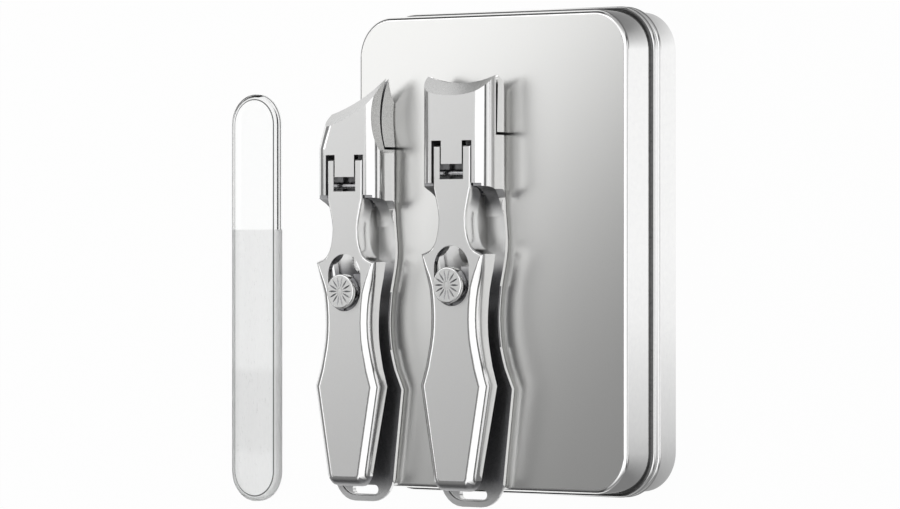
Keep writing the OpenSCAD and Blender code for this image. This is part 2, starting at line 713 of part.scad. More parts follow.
case_base();
case_lid();
lid_hinge_pin();
foam_tray();
glass_file();
lay_wide() frame(false);  // wide_frame
lay_wide() jaw(false);  // wide_jaw
lay_wide() jaw_spring(false);  // wide_jaw_spring
lay_wide() lever();  // wide_lever
lay_wide() lever_pin();  // wide_lever_pin
lay_wide() draw_pin();  // wide_draw_pin
lay_wide() jaw_pin();  // wide_jaw_pin
lay_wide() lock_stud();  // wide_lock_stud
lay_wide() lock_hook();  // wide_lock_hook
lay_wide() lock_knob();  // wide_lock_knob
lay_slant() frame(true);  // slant_frame
lay_slant() jaw(true);  // slant_jaw
lay_slant() jaw_spring(true);  // slant_jaw_spring
lay_slant() lever();  // slant_lever
lay_slant() lever_pin();  // slant_lever_pin
lay_slant() draw_pin();  // slant_draw_pin
lay_slant() jaw_pin();  // slant_jaw_pin
lay_slant() lock_stud();  // slant_lock_stud
lay_slant() lock_hook();  // slant_lock_hook
lay_slant() lock_knob();  // slant_lock_knob
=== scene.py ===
"""Looks of the manicure set: a tin case, two lever clippers lying on its lid and a glass file beside it.

Lengths are millimetres, and MM turns them into Blender's metres. Names that end in _m and Blender's own
settings are metres. A clipper is described in its own coordinates: across, distance from the jaw tip, and
depth under the face.
"""

import json
import math

import bmesh
import bpy
from mathutils import Matrix, Vector


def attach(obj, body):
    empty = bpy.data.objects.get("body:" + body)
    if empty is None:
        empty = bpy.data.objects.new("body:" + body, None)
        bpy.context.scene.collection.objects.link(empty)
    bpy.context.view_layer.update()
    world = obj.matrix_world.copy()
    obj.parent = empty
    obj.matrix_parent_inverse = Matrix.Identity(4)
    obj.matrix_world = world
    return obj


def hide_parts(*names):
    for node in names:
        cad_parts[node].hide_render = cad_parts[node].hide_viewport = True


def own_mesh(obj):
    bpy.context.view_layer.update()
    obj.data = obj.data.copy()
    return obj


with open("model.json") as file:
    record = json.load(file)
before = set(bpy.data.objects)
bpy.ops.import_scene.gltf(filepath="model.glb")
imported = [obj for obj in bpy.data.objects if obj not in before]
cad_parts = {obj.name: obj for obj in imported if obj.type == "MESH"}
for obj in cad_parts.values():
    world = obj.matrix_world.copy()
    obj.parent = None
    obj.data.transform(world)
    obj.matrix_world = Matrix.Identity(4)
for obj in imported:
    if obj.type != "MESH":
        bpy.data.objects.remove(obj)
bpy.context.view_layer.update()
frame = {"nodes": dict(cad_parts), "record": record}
nodes = frame["nodes"]
body_of_node = {n: b for b, ns in frame["record"]["behaviour"]["bodies"].items() for n in ns}

MM = 0.001

# The tin
TIN_W = 71.5
TIN_L = 100.0
TIN_H = 17.0
TIN_CORNER = 8.5
SHEET = 0.8
LID_EDGE_R = 1.0
LID_BEAD_TOP = 8.75

# The clippers: middle, jaw tip, height of the face, size
CLIPPER_D = 8.6
LIE_GAP = 0.03
SLANT_SIZE = 0.96
CLIPPERS = {
    "wide": (-3.5, 36.9, TIN_H + LIE_GAP + CLIPPER_D, 1.0),
    "slant": (-32.8, 33.7, TIN_H + LIE_GAP + CLIPPER_D * SLANT_SIZE, SLANT_SIZE),
}

# The glass file, from the tin's middle
FILE_MIDDLE = Vector((-77.7, -10.1, 0))
FILE_HALF_L = 45.0
FILE_HALF_W = 6.75
FILE_T = 2.5
ETCHED_TO_Y = 5.0

# Least upward part of a level face's normal
LEVEL = 0.98


# ------------------------------------------------------------------ node helpers

def material(name):
    m = bpy.data.materials.new(name)
    m.use_nodes = True
    tree = m.node_tree
    return m, tree, tree.nodes["Principled BSDF"]


def node(tree, kind, **settings):
    n = tree.nodes.new(kind)
    for key, value in settings.items():
        setattr(n, key, value)
    return n


def link(tree, a, b):
    tree.links.new(a, b)


def object_coords(tree, scale=(1, 1, 1)):
    """Coordinates fixed to the piece, in millimetres, stretched by scale."""
    coords = node(tree, "ShaderNodeTexCoord")
    mapping = node(tree, "ShaderNodeMapping")
    mapping.inputs["Scale"].default_value = [s / MM for s in scale]
    link(tree, coords.outputs["Object"], mapping.inputs["Vector"])
    return mapping.outputs["Vector"]


def axis_of(tree, vector, axis):
    """One axis of a vector."""
    parts = node(tree, "ShaderNodeSeparateXYZ")
    link(tree, vector, parts.inputs["Vector"])
    return parts.outputs[axis]


def ramp(tree, source, low, high, from_min=0.0, from_max=1.0):
    """A number that follows source from low to high, while source runs from from_min to from_max."""
    r = node(tree, "ShaderNodeMapRange")
    r.inputs["From Min"].default_value = from_min
    r.inputs["From Max"].default_value = from_max
    r.inputs["To Min"].default_value = low
    r.inputs["To Max"].default_value = high
    link(tree, source, r.inputs["Value"])
    return r.outputs["Result"]


def colour_ramp(tree, source, low, high):
    """A colour that follows a noise from low to high over its busy middle."""
    r = node(tree, "ShaderNodeValToRGB")
    for element, colour, position in zip(r.color_ramp.elements, (low, high), (0.3, 0.7)):
        element.color = (*colour, 1)
        element.position = position
    link(tree, source, r.inputs["Fac"])
    return r.outputs["Color"]


def stops(tree, source, values):
    """A grey that follows source through the given (place, grey) pairs."""
    r = node(tree, "ShaderNodeValToRGB")
    elements = r.color_ramp.elements
    for at, grey in values[1:-1]:
        elements.new(at)
    for element, (at, grey) in zip(elements, values):
        element.position = at
        element.color = (grey, grey, grey, 1)
    link(tree, source, r.inputs["Fac"])
    return r.outputs["Color"]


def noise(tree, vector, scale, detail, roughness=0.5):
    n = node(tree, "ShaderNodeTexNoise")
    n.inputs["Scale"].default_value = scale
    n.inputs["Detail"].default_value = detail
    n.inputs["Roughness"].default_value = roughness
    link(tree, vector, n.inputs["Vector"])
    return n.outputs["Fac"]


def mix_colours(tree, factor, one, two, blend_type="MIX"):
    """Mixes two colours. Each of the three is a socket, or a plain value."""
    mix = node(tree, "ShaderNodeMix", data_type="RGBA", blend_type=blend_type)
    for socket, source in zip((mix.inputs[0], mix.inputs[6], mix.inputs[7]), (factor, one, two)):
        if isinstance(source, bpy.types.NodeSocket):
            link(tree, source, socket)
        else:
            socket.default_value = source
    return mix.outputs[2]


def bump(tree, shader, height, strength, distance):
    b = node(tree, "ShaderNodeBump")
    b.inputs["Strength"].default_value = strength
    b.inputs["Distance"].default_value = distance
    link(tree, height, b.inputs["Height"])
    link(tree, b.outputs["Normal"], shader.inputs["Normal"])


# ------------------------------------------------------------------ materials

def steel(name, colour, dark, rough, spread, grain, stretch=(1, 1, 1), bumpiness=0.0, painted_light=None):
    """Steel with fine grain in its colour, its surface and its roughness, which lies within rough +- spread.

    Optional stops of painted light run along the clipper, over the painted light's reach either side of the
    tin's middle, each with its share of a lighter colour.
    """
    painted_light_colour = (0.8, 0.8, 0.795, 1)
    painted_light_reach = 60.0
    grain_height_m = 0.00002
    m, tree, shader = material(name)
    shader.inputs["Metallic"].default_value = 1.0
    shader.inputs["Specular IOR Level"].default_value = 0.5
    grains = noise(tree, object_coords(tree, stretch), grain, detail=5, roughness=0.6)
    tone = colour_ramp(tree, grains, dark, colour)
    # painted light: a lighter colour mixed in by the stops along the clipper
    if painted_light:
        along = axis_of(tree, object_coords(tree), "Y")
        lit = stops(tree, ramp(tree, along, 0.0, 1.0, -painted_light_reach, painted_light_reach), painted_light)
        tone = mix_colours(tree, lit, tone, painted_light_colour)
    link(tree, tone, shader.inputs["Base Color"])
    link(tree, ramp(tree, grains, rough - spread, rough + spread, from_min=0.25, from_max=0.75),
         shader.inputs["Roughness"])
    if bumpiness:
        bump(tree, shader, grains, bumpiness, grain_height_m)
    return m


# Inside the clippers the steel is dark, partly as duller unpolished steel and partly as painted shade. These
# stops lighten it with painted light at the tail, and under the neck where light shows through the opening
INNER_PAINTED_LIGHT = [
    (0.0, 0.6), (0.07, 0.6), (0.102, 0.0), (0.463, 0.0),
    (0.488, 1.0), (0.562, 1.0), (0.585, 0.12), (1.0, 0.1),
]

satin = steel(
    "steel_satin", colour=(0.73, 0.73, 0.725), dark=(0.68, 0.68, 0.675),
    rough=0.5, spread=0.04, grain=6.0, bumpiness=0.15)
polished = steel(
    "steel_polished", colour=(0.86, 0.86, 0.855), dark=(0.82, 0.82, 0.82),
    rough=0.12, spread=0.03, grain=1.2)
ground = steel(
    "steel_ground", colour=(0.68, 0.68, 0.675), dark=(0.63, 0.63, 0.625),
    rough=0.28, spread=0.03, grain=1.0, stretch=(9, 1, 1), bumpiness=0.05)
# Inside steel, dark partly as duller unpolished steel and partly as painted shade on the clippers' hidden
# faces, undersides, the arch's end and the lever's grip end
inner_steel_shade = steel(
    "steel_inner_painted_shade", colour=(0.3, 0.3, 0.31), dark=(0.2, 0.2, 0.21),
    rough=0.42, spread=0.05, grain=3.0, painted_light=INNER_PAINTED_LIGHT)
# Dark steel as painted shade, for the pins and the leaf spring inside the clippers and for the grooves of
# the knob's petals
painted_shade_steel = steel(
    "steel_pin_painted_shade", colour=(0.42, 0.42, 0.43), dark=(0.34, 0.34, 0.35),
    rough=0.26, spread=0.05, grain=2.0)
pin_steel = steel(
    "steel_pin", colour=(0.78, 0.78, 0.79), dark=(0.72, 0.72, 0.73),
    rough=0.14, spread=0.04, grain=2.0)
tin_satin = steel(
    "tin_satin", colour=(0.7, 0.7, 0.69), dark=(0.65, 0.65, 0.64),
    rough=0.3, spread=0.03, grain=5.0, bumpiness=0.2)
tin_polished = steel(
    "tin_polished", colour=(0.95, 0.95, 0.945), dark=(0.91, 0.91, 0.91),
    rough=0.1, spread=0.03, grain=1.0)
# Near-black steel as painted shade in the lid's hollow turn into its bead
tin_shade = steel(
    "tin_shade", colour=(0.14, 0.14, 0.14), dark=(0.09, 0.09, 0.09),
    rough=0.3, spread=0.05, grain=1.5)
tin_inside = steel(
    "tin_inside", colour=(0.6, 0.6, 0.59), dark=(0.54, 0.54, 0.53),
    rough=0.3, spread=0.05, grain=2.0)


def foam_material():
    """Closed-cell foam: fine specks in its black, and cells a quarter of a millimetre across."""
    cell_height_m = 0.0001
    m, tree, shader = material("foam_black")
    coords = object_coords(tree)
    specks = noise(tree, coords, scale=9.0, detail=6)
    cells = node(tree, "ShaderNodeTexVoronoi")
    cells.inputs["Scale"].default_value = 4.0
    link(tree, coords, cells.inputs["Vector"])
    link(tree, colour_ramp(tree, specks, (0.018, 0.018, 0.02), (0.04, 0.04, 0.043)),
         shader.inputs["Base Color"])
    shader.inputs["Roughness"].default_value = 0.95
    shader.inputs["Sheen Weight"].default_value = 0.2
    bump(tree, shader, cells.outputs["Distance"], 0.5, cell_height_m)
    return m


def glass_material(name, rough, colour, clear=1.0):
    """Glass that lets through the share clear of the light and scatters the rest, with its nodes."""
    m, tree, shader = material(name)
    shader.inputs["Base Color"].default_value = (*colour, 1)
    shader.inputs["Transmission Weight"].default_value = clear
    shader.inputs["IOR"].default_value = 1.5
    shader.inputs["Roughness"].default_value = rough
    return m, tree, shader


def etched_glass_material(name, rough, colour, clear=1.0):
    """Glass etched with slanting grains. Towards the file's far end a band of it is greyer."""
    grain_slant = math.radians(38)
    grain_stretch = (1, 0.25, 1)
    grain_height_m = 0.0001
    spread = 0.12
    dark_share = 0.88
    greyer_band_reach = 60.0
    greyer_band_levels = [(0.0, 0.97), (0.25, 0.97), (0.28, 0.9), (0.55, 0.9), (0.58, 1.0), (1.0, 1.0)]
    m, tree, shader = glass_material(name, rough, colour, clear)
    coords = object_coords(tree)
    turn = node(tree, "ShaderNodeMapping")
    turn.inputs["Rotation"].default_value = (0, 0, grain_slant)
    turn.inputs["Scale"].default_value = grain_stretch
    link(tree, coords, turn.inputs["Vector"])
    grains = noise(tree, turn.outputs["Vector"], scale=2.6, detail=6, roughness=0.7)
    link(tree, ramp(tree, grains, rough - spread, rough + spread, from_min=0.3, from_max=0.7),
         shader.inputs["Roughness"])
    greyer_band = stops(tree, ramp(tree, axis_of(tree, coords, "Y"), 0.0, 1.0, -greyer_band_reach, 0.0), greyer_band_levels)
    tone = colour_ramp(tree, grains, tuple(dark_share * c for c in colour), colour)
    link(tree, mix_colours(tree, 1.0, tone, greyer_band, "MULTIPLY"), shader.inputs["Base Color"])
    bump(tree, shader, grains, 0.6, grain_height_m)
    return m


foam = foam_material()
clear_glass = glass_material("glass_clear", rough=0.02, colour=(0.995, 1.0, 0.998))[0]
etched_glass = etched_glass_material("glass_etched", rough=0.35, colour=(0.97, 0.975, 0.972))
edge_glass = etched_glass_material("glass_ground_edge", rough=0.5, colour=(0.97, 0.98, 0.975), clear=0.8)
# The ridge's dark glass is painted shade, for the dark line that refraction shows along a glass edge
ridge_painted_shade = glass_material("glass_ridge_painted_shade", rough=0.35, colour=(0.12, 0.125, 0.125), clear=0.1)[0]


# ------------------------------------------------------------------ making pieces

def mesh_from(bm, name):
    """The finished mesh, its faces turned outwards."""
    bmesh.ops.recalc_face_normals(bm, faces=bm.faces)
    mesh = bpy.data.meshes.new(name)
    bm.to_mesh(mesh)
    bm.free()
    return mesh


def add_object(name, data):
    obj = bpy.data.objects.new(name, data)
    bpy.context.scene.collection.objects.link(obj)
    return obj


def piece_from(mesh, name, *cad_nodes):
    """A finished mesh as a piece that stands for CAD nodes of one body."""
    obj = add_object(name, mesh)
    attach(obj, body_of_node[cad_nodes[0]])
    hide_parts(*cad_nodes)
    return obj


def band(bm, low, high):
    """Makes the faces between two rings of vertices, and gives each with its place round the ring."""
    for i in range(len(low)):
        j = (i + 1) % len(low)
        yield i, bm.faces.new((low[i], low[j], high[j], high[i]))


def smooth_normals(obj, degrees):
    mesh = obj.data
    mesh.polygons.foreach_set("use_smooth", [True] * len(mesh.polygons))
    mesh.set_sharp_from_angle(angle=math.radians(degrees))
    modifier = obj.modifiers.new("normals", "WEIGHTED_NORMAL")
    modifier.keep_sharp = True
    modifier.weight = 80


def soften_edges(obj, width, degrees):
    """Rounds the piece's sharp edges by a hair, so that they catch the light."""
    modifier = obj.modifiers.new("edges", "BEVEL")
    modifier.width = width * MM
    modifier.segments = 2
    modifier.limit_method = "ANGLE"
    modifier.angle_limit = math.radians(degrees)
    modifier.harden_normals = False
    modifier.use_clamp_overlap = True


def cut(obj, tool_mesh):
    """Takes a closed mesh out of the piece."""
    tool = add_object("tool", tool_mesh)
    modifier = obj.modifiers.new("cut", "BOOLEAN")
    modifier.operation = "DIFFERENCE"
    modifier.solver = "EXACT"
    modifier.object = tool
    bpy.context.view_layer.update()
    result = bpy.data.meshes.new_from_object(obj.evaluated_get(bpy.context.evaluated_depsgraph_get()))
    obj.modifiers.clear()
    obj.data = result
    bpy.data.objects.remove(tool)


def from_cad(cad_node, choose, materials, edge, tool=None):
    """A welded copy of a CAD node, with sharp edges rounded to the width edge.

    choose(centre, normal) gives each face's place in materials, and tool is a closed mesh to cut away.
    """
    weld_m = 2e-6
    sliver_m = 1e-6
    flat_degrees = 0.4
    sharp_degrees = 35
    bm = bmesh.new()
    bm.from_mesh(nodes[cad_node].data)
    bmesh.ops.remove_doubles(bm, verts=bm.verts, dist=weld_m)
    bmesh.ops.dissolve_degenerate(bm, edges=bm.edges, dist=sliver_m)
    bmesh.ops.dissolve_limit(
        bm, angle_limit=math.radians(flat_degrees), verts=bm.verts, edges=bm.edges, delimit={"NORMAL"})
    bm.normal_update()
    for f in bm.faces:
        f.material_index = choose(f.calc_center_median() / MM, f.normal)
    name = "look_" + cad_node
    mesh = bpy.data.meshes.new(name)
    bm.to_mesh(mesh)
    bm.free()
    obj = piece_from(mesh, name, cad_node)
    for m in materials:
        obj.data.materials.append(m)
    if tool:
        cut(obj, tool)
    soften_edges(obj, edge, sharp_degrees)
    smooth_normals(obj, sharp_degrees)
    return obj


def all_alike(centre, normal):
    return 0


# ------------------------------------------------------------------ the tin

TIN_STEELS = [tin_polished, tin_satin, tin_inside]
TIN_OUTSIDE, TIN_TOP, TIN_INSIDE = range(3)
# Faces up to this height belong to the tin's underside
UNDERSIDE_Z = 0.5


def tin_face(centre, normal):
    """Satin on the lid's top, polished walls and beads, duller inside."""
    if normal.z > LEVEL and centre.z > TIN_H - 0.1:
        return TIN_TOP
    past_corner_x = max(abs(centre.x) - (TIN_W / 2 - TIN_CORNER), 0)
    past_corner_y = max(abs(centre.y) - (TIN_L / 2 - TIN_CORNER), 0)
    within_walls = math.hypot(past_corner_x, past_corner_y) < TIN_CORNER - SHEET / 2
    under_base = centre.z <= UNDERSIDE_Z
    rounded_edge = normal.z > 0.5 and centre.z > TIN_H - LID_EDGE_R
    return TIN_INSIDE if within_walls and not under_base and not rounded_edge else TIN_OUTSIDE


def lid_fillet():
    """The drawn sheet's hollow turn from the lid's wall into its bead, sunk a little and coloured near black
    as painted shade.
    """
    r = 0.65
    sunk = 0.3
    low = LID_BEAD_TOP - 0.01
    turn_steps = 5
    corner_steps = 12
    corner_x = TIN_W / 2 - TIN_CORNER
    corner_y = TIN_L / 2 - TIN_CORNER
    section = [(-sunk, low - sunk), (-sunk, low + r)]
    for i in range(turn_steps + 1):
        a = math.radians(90 * i / turn_steps)
        section.append((r - r * math.cos(a), low + r - r * math.sin(a)))
    bm = bmesh.new()
    rings = []
    for side_x, side_y, start in ((1, 1, 0), (-1, 1, 90), (-1, -1, 180), (1, -1, 270)):
        for i in range(corner_steps + 1):
            a = math.radians(start + 90 * i / corner_steps)
            rings.append([bm.verts.new(Vector((
                side_x * corner_x + (TIN_CORNER + out) * math.cos(a),
                side_y * corner_y + (TIN_CORNER + out) * math.sin(a),
                z)) * MM) for out, z in section])
    for one, two in zip(rings, rings[1:] + rings[:1]):
        for i, f in band(bm, one, two):
            f.smooth = True
    mesh = mesh_from(bm, "look_lid_fillet")
    mesh.materials.append(tin_shade)
    mesh.set_sharp_from_angle(angle=math.radians(50))
    obj = add_object("look_lid_fillet", mesh)
    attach(obj, "lid")


from_cad("case_lid", tin_face, TIN_STEELS, 0.06)
from_cad("case_base", tin_face, TIN_STEELS, 0.06)
from_cad("lid_hinge_pin", all_alike, [pin_steel], 0.08)
lid_fillet()
from_cad("foam_tray", all_alike, [foam], 0.25)


# ------------------------------------------------------------------ the clippers

STEELS = [satin, polished, ground, inner_steel_shade]
SATIN, POLISHED, GROUND, INNER_SHADE = range(4)

# Where one finish of a clipper ends and the next begins, in its own coordinates
# The satin face
FACE_DEPTH = 0.05
# The hollow-ground front of both jaws, and of the fixed one down to its underside
HOLLOW_END = 9
FIXED_JAW_DEPTH = 3.7
# The hollow down the slanting clipper's right side, along and across
SIDE_HOLLOW = (-3.2, 13.6)
SIDE_HOLLOW_X = (6.9, 8.86)
# The end of the arch over the neck's opening, and the ledge on it
ARCH = (22.3, 31)
ARCH_LEDGE_DEPTH = (0.3, 1.3)
# The inside of the frame's shell, and the floor of its back
SHELL_INSIDE_X = 7.4
SHELL_INSIDE_DEPTH = (1.3, 7.3)
SHELL_INSIDE_FROM = 12
BACK_FLOOR_DEPTH = 7
# The part of the moving jaw that lies inside the frame
JAW_INSIDE_FROM = 4.4
JAW_INSIDE_DEPTH = 7.1
# The lever's underside, and its grip
LEVER_INSIDE_DEPTH = 1.5
LEVER_GRIP_FROM = 60

# Turned up, down or towards the jaws: least parts of a face's normal
LEVELISH = 0.9
TILTED = 0.3
# The most that an upright face turns up or down
UPRIGHT = 0.1


def in_clipper(clipper, point):
    """A point as (across, distance from the jaw tip, depth under the face)."""
    x, tip, top, size = CLIPPERS[clipper]
    return (point.x - x) / size, (tip - point.y) / size, (top - point.z) / size


def between(value, limits):
    return limits[0] < value < limits[1]


def on_side_hollow(clipper, x, v, normal):
    """The slanting edge runs on down the right side, and is ground hollow there too."""
    return (clipper == "slant" and between(x, SIDE_HOLLOW_X) and between(v, SIDE_HOLLOW)
            and abs(normal.z) < UPRIGHT)


# Faces inside the shell, on the back's floor and at the arch's end and ledge get the inside steel, partly
# painted shade
def frame_face(clipper):
    def choose(centre, normal):
        x, v, depth = in_clipper(clipper, centre)
        if normal.z > LEVEL and depth < FACE_DEPTH:
            return SATIN
        if depth > BACK_FLOOR_DEPTH and normal.z > LEVELISH:
            return INNER_SHADE
        if v < HOLLOW_END and depth < FIXED_JAW_DEPTH and normal.z > TILTED and normal.y > TILTED:
            return GROUND
        arch_end = normal.y < -0.2 and depth < BACK_FLOOR_DEPTH
        arch_ledge = normal.z > LEVELISH and between(depth, ARCH_LEDGE_DEPTH)
        if between(v, ARCH) and (arch_end or arch_ledge):
            return INNER_SHADE
        if on_side_hollow(clipper, x, v, normal):
            return GROUND
        in_shell = v > SHELL_INSIDE_FROM and between(depth, SHELL_INSIDE_DEPTH)
        if in_shell and (normal.z < -LEVELISH or abs(x) < SHELL_INSIDE_X):
            return INNER_SHADE
        return POLISHED
    return choose


def jaw_face(clipper):
    def choose(centre, normal):
        x, v, depth = in_clipper(clipper, centre)
        if v < HOLLOW_END and normal.z < -TILTED and normal.y > TILTED:
            return GROUND
        if on_side_hollow(clipper, x, v, normal):
            return GROUND
        # Parts inside the frame get the inside steel, partly painted shade
        hidden = depth < JAW_INSIDE_DEPTH and v > JAW_INSIDE_FROM and abs(x) < SHELL_INSIDE_X
        return INNER_SHADE if hidden else POLISHED
    return choose


def lever_face(clipper):
    def choose(centre, normal):
        _, v, depth = in_clipper(clipper, centre)
        if normal.z > LEVEL and depth < FACE_DEPTH:
            return SATIN
        # The underside and the grip's end get the inside steel, partly painted shade
        underside = normal.z < -LEVELISH and depth < LEVER_INSIDE_DEPTH
        grip_end = normal.y < -0.35 and v > LEVER_GRIP_FROM
        return INNER_SHADE if underside or grip_end else POLISHED
    return choose


def quarter(centre, r, start):
    """Points on a quarter circle round centre, turning back from the angle start in degrees."""
    steps = 9
    angles = [math.radians(start - 90 * i / steps) for i in range(steps + 1)]
    return [(centre[0] + r * math.cos(a), centre[1] + r * math.sin(a)) for a in angles]


def taper_tool():
    """What the slanted head's tapered left side leaves off, with the head's own corner roundings."""
    face_r, back_r = 3.4, 3.0
    back_centre_depth = CLIPPER_D - 0.02 - back_r
    beyond = CLIPPER_D + 1
    outside = -6
    above = -1
    head_side = -9
    taper_from = 11.8
    taper = math.radians(18.5)
    reach = 20
    x0, tip, top, size = CLIPPERS["slant"]
    section = [(outside, above), (face_r, above)]
    section += quarter((face_r, face_r), face_r, 270)
    section += quarter((back_r, back_centre_depth), back_r, 180)
    section += [(back_r, beyond), (outside, beyond)]
    bm = bmesh.new()
    rings = []
    for far in (0, reach):
        rings.append([bm.verts.new(Vector((
            x0 + size * (head_side + u + far * math.sin(taper)),
            tip - size * (taper_from + u * math.tan(taper / 2) - far * math.cos(taper)),
            top - size * depth)) * MM) for u, depth in section])
    for i, f in band(bm, *rings):
        f.material_index = POLISHED
    for ring in rings:
        bm.faces.new(ring).material_index = POLISHED
    return mesh_from(bm, "taper")


# The lock knob, its foot's height over the clipper's face and its rounded edges
KNOB_R = 3.825
KNOB_T = 2.1
KNOB_EDGE = 0.3
KNOB_V = 43.8
KNOB_FOOT_Z = -0.51
# Its petals run from the hub nearly to the edge, pointed at both ends. Their depth is half their width
# times PETAL_SLOPE.
HUB_R = 0.95
PETALS = 14
PETAL_TO_R = 3.2
PETAL_HALF_W = 0.19
PETAL_MIN_HALF_W = 0.015
PETAL_BULGE = 0.7
PETAL_SLOPE = 0.95
# The rings of faces in which the top is made, and their outer radius
TOP_RINGS = 22
TOP_RINGS_R = 3.3
# The petals take the dark steel of painted shade for their grooves
KNOB_STEELS = [polished, satin, painted_shade_steel]
KNOB_SIDE, KNOB_TOP, KNOB_PETAL = range(3)


def petal_spots(r):
    """Angles round the top at radius r, and how far each lies over the top there."""
    share = min(max((r - HUB_R) / (PETAL_TO_R - HUB_R), 0.0), 1.0)
    half_w = PETAL_HALF_W * math.sin(math.pi * share) ** PETAL_BULGE
    sector = math.pi / PETALS
    edge = max(half_w, PETAL_MIN_HALF_W) / r
    spots = []
    for i in range(PETALS):
        middle = (i + 0.5) * 2 * sector
        spots += [(middle - sector, 0), (middle - edge, 0)]
        spots += [(middle, -PETAL_SLOPE * half_w), (middle + edge, 0)]
    return spots


def level_spots(r):
    """The same angles with no petals cut."""
    return [(a, 0.0) for a, over in petal_spots(r)]


def lock_knob(clipper):
    """The round knob: a turned side, and a satin top with thin pointed petals cut round a small hub."""
    x0, tip, top, size = CLIPPERS[clipper]
    bm = bmesh.new()

    def ring(r, z, spots):
        return [bm.verts.new(Vector((
            x0 + size * r * math.sin(a),
            tip + size * (r * math.cos(a) - KNOB_V),
            top + size * (KNOB_FOOT_Z + z + over))) * MM) for a, over in spots]

    bore_r = 1.25
    bore_top = 1.3
    edge_steps = 5
    side_r = KNOB_R - KNOB_EDGE
    # rings off the top have their points at the petals' angles at one radius
    around = level_spots(2.0)
    foot = level_spots(3.0)
    underside = [(0.01, bore_top), (bore_r, bore_top), (bore_r, 0.0), (side_r, 0.0)]
    rings = [ring(r, z, foot) for r, z in underside]
    turns = [math.radians(90 * i / edge_steps) for i in range(edge_steps + 1)]
    for a in turns[1:]:
        rings.append(ring(side_r + KNOB_EDGE * math.sin(a), KNOB_EDGE * (1 - math.cos(a)), around))
    for a in turns:
        rings.append(ring(side_r + KNOB_EDGE * math.cos(a), KNOB_T - KNOB_EDGE * (1 - math.sin(a)), around))
    side = len(rings) - 1
    ring_step = (TOP_RINGS_R - HUB_R) / TOP_RINGS
    for i in range(TOP_RINGS + 1):
        r = TOP_RINGS_R - i * ring_step
        rings.append(ring(r, KNOB_T, petal_spots(r)))
    hub = level_spots(HUB_R)
    hub_levels = [(0.82, 0.0), (0.76, -0.12), (0.7, -0.12), (0.64, 0.0), (0.01, 0.03)]
    rings += [ring(r, KNOB_T + over, hub) for r, over in hub_levels]

    for level, (low, high) in enumerate(zip(rings, rings[1:])):
        middle_r = TOP_RINGS_R - (level - side - 0.5) * ring_step
        has_petals = level > side and HUB_R < middle_r < PETAL_TO_R
        for i, f in band(bm, low, high):
            in_petal = has_petals and i % 4 in (1, 2)
            f.material_index = KNOB_PETAL if in_petal else KNOB_TOP if level >= side else KNOB_SIDE
            f.smooth = not in_petal
    for end in (rings[0], rings[-1]):
        bm.faces.new(end)
    name = f"look_{clipper}_lock_knob"
    obj = piece_from(mesh_from(bm, name), name, clipper + "_lock_knob")
    for m in KNOB_STEELS:
        obj.data.materials.append(m)
    obj.data.set_sharp_from_angle(angle=math.radians(30))


def jaw_spring(clipper):
    """The leaf spring, with a mesh of its own."""
    spring = from_cad(clipper + "_jaw_spring", all_alike, [painted_shade_steel], 0.04)
    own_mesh(spring)


for clipper in CLIPPERS:
    tool = taper_tool() if clipper == "slant" else None
    from_cad(clipper + "_frame", frame_face(clipper), STEELS, 0.1, tool=tool)
    from_cad(clipper + "_jaw", jaw_face(clipper), STEELS, 0.1, tool=tool)
    from_cad(clipper + "_lever", lever_face(clipper), STEELS, 0.1)
    jaw_spring(clipper)
    # Pins in the dark steel of painted shade
    for pin in ("lever_pin", "draw_pin", "jaw_pin", "lock_stud"):
        from_cad(f"{clipper}_{pin}", all_alike, [painted_shade_steel], 0.08)
    from_cad(clipper + "_lock_hook", all_alike, [inner_steel_shade], 0.05)
    lock_knob(clipper)


# ------------------------------------------------------------------ the glass file

FILE_GLASSES = [clear_glass, etched_glass, edge_glass, ridge_painted_shade]
CLEAR_FACE, ETCHED_FACE, GROUND_EDGE, RIDGE = range(4)
# Half width and height, from the underside over the ground edge and the bevel to the ridge round the top
FILE_LEVELS = [(5.5, 0.0), (FILE_HALF_W, 0.75), (FILE_HALF_W, 2.1), (5.75, 2.38), (5.5, FILE_T)]
END_STEPS = 24


def stadium(half_width, z):
    """Points round the file's outline, its straight sides cut where the etching starts."""
    straight = FILE_HALF_L - FILE_HALF_W
    points = []
    for sign, start in ((1, 0), (-1, 180)):
        for i in range(END_STEPS + 1):
            a = math.radians(start + i * 180 / END_STEPS)
            points.append((half_width * math.cos(a), sign * straight + half_width * math.sin(a), z))
        points.append((-sign * half_width, ETCHED_TO_Y - FILE_MIDDLE.y, z))
    return points


def glass_file():
    """A clear handle end and an etched file, with a bevel and a fine ridge all round, the ridge dark as
    painted shade.
    """
    bm = bmesh.new()
    rings = [[bm.verts.new((FILE_MIDDLE + Vector(p)) * MM) for p in stadium(w, z)] for w, z in FILE_LEVELS]
    for level, (low, high) in enumerate(zip(rings, rings[1:])):
        for i, f in band(bm, low, high):
            f.smooth = True
            middle_y = (low[i].co.y + low[(i + 1) % len(low)].co.y) / 2 / MM
            if level == len(FILE_LEVELS) - 2:
                f.material_index = RIDGE
            elif middle_y < ETCHED_TO_Y:
                f.material_index = GROUND_EDGE
    # the sides' cut points are the ones after each round end
    first_cut = END_STEPS + 1
    last_cut = 2 * first_cut + 1
    for ring, under in ((rings[0], True), (rings[-1], False)):
        clear_end = ring[:first_cut + 1] + [ring[last_cut]]
        etched_end = ring[first_cut:last_cut] + [ring[last_cut]]
        for verts, glass in ((clear_end, CLEAR_FACE), (etched_end, ETCHED_FACE)):
            bm.faces.new(reversed(verts) if under else verts).material_index = glass
    obj = piece_from(mesh_from(bm, "look_glass_file"), "look_glass_file", "glass_file")
    for m in FILE_GLASSES:
        obj.data.materials.append(m)


glass_file()


# ------------------------------------------------------------------ stage and light

WHITE = (1, 1, 1, 1)


